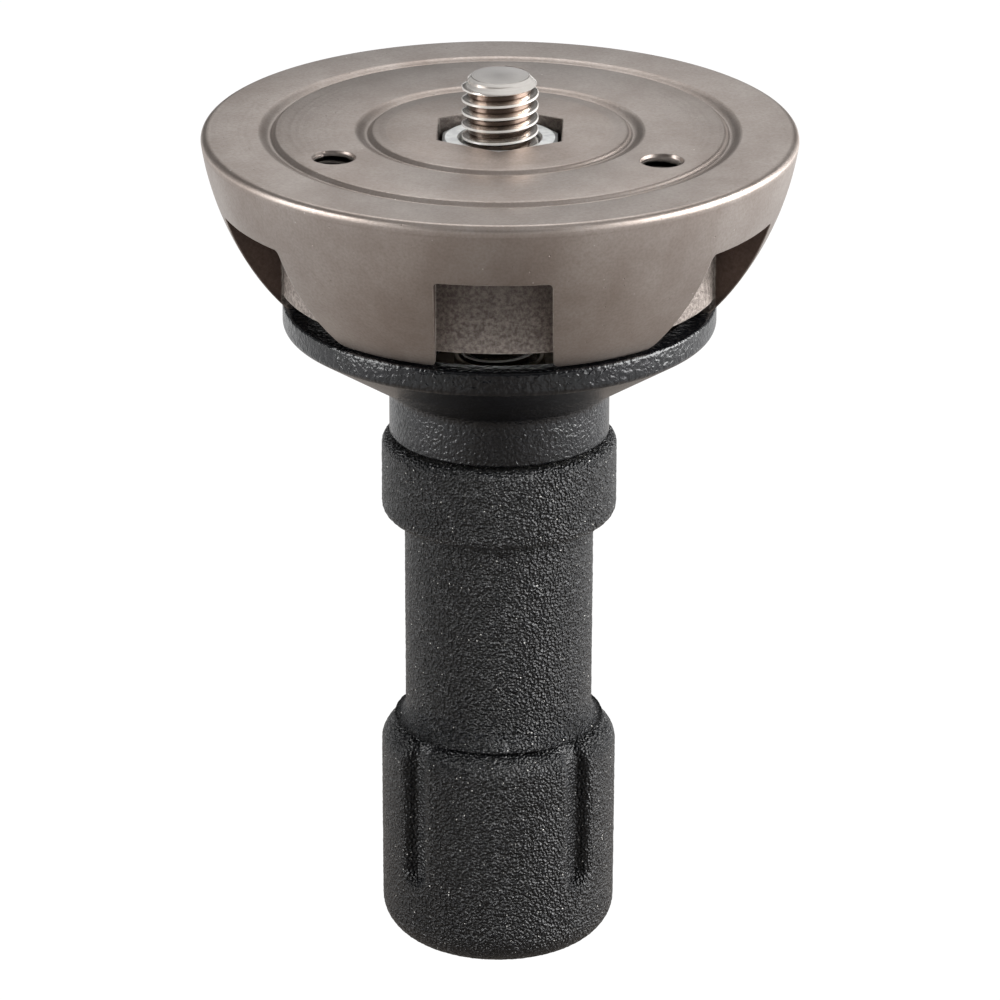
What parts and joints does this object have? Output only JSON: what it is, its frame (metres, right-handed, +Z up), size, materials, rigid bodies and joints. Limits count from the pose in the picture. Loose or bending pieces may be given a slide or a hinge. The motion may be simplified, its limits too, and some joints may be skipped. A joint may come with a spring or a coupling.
{
  "type": "tripod half ball adapter",
  "caption": "Flat-topped half ball with a threaded stud, clamp flange and screw handle, for levelling a camera head in a tripod bowl.",
  "frame": {"origin": "centre of the 75 mm ball, which is also the centre of the tripod bowl that it sits in", "axes": "+Z up along the stud and the tie rod, -Y towards the front notch, as in the picture"},
  "size_m": [0.0744, 0.0744, 0.116],
  "materials": {
    "cast_metal": "tumbled grey-brown casting with a turned flat face",
    "stainless": "turned stainless steel",
    "zinc_plate": "zinc plated",
    "bright_steel": "bright turned steel",
    "dark_steel": "black oxide",
    "powder_coat": "wrinkled black powder coat",
    "nylon": "smooth moulded",
    "grained_plastic": "fine moulded grain"
  },
  "bodies": {
    "ball": {"half_ball": "cast_metal", "stud_rod": "stainless", "top_nut": "zinc_plate", "hub_washer": "zinc_plate", "hub_lock_washer": "zinc_plate", "hub_nut": "zinc_plate"},
    "set_screw_1": {"set_screw_1": "dark_steel"},
    "set_screw_2": {"set_screw_2": "dark_steel"},
    "set_screw_3": {"set_screw_3": "dark_steel"},
    "carrier": {"lower_thrust_washer": "nylon"},
    "clamp": {"clamp_flange": "powder_coat", "guide_bush": "bright_steel"},
    "handle": {"handle_body": "grained_plastic", "handle_knob": "grained_plastic", "handle_insert": "bright_steel", "retaining_ring": "dark_steel", "upper_thrust_washer": "nylon", "knob_washer": "zinc_plate", "knob_screw": "zinc_plate"}
  },
  "joints": [
    {"name": "clamp_travel", "type": "slide", "parent": "ball", "child": "carrier", "axis": [0, 0, -1], "range_m": [0, 0.0294]},
    {"name": "handle_turn", "type": "hinge", "parent": "carrier", "child": "handle", "pos_m": [0, 0, -0.0443], "axis": [0, 0, -1], "range_deg": [0, 6668]},
    {"name": "flange_swivel", "type": "hinge", "parent": "carrier", "child": "clamp", "pos_m": [0, 0, -0.0434], "axis": [0, 0, 1], "continuous": true},
    {"name": "set_screw_1_travel", "type": "slide", "parent": "ball", "child": "set_screw_1", "axis": [0, 0, 1], "range_m": [0, 0.005]},
    {"name": "set_screw_2_travel", "type": "slide", "parent": "ball", "child": "set_screw_2", "axis": [0, 0, 1], "range_m": [0, 0.005]},
    {"name": "set_screw_3_travel", "type": "slide", "parent": "ball", "child": "set_screw_3", "axis": [0, 0, 1], "range_m": [0, 0.005]}
  ],
  "couplings": [
    {"joint": "handle_turn", "follows": "clamp_travel", "rad_per_m": 3957.9}
  ]
}
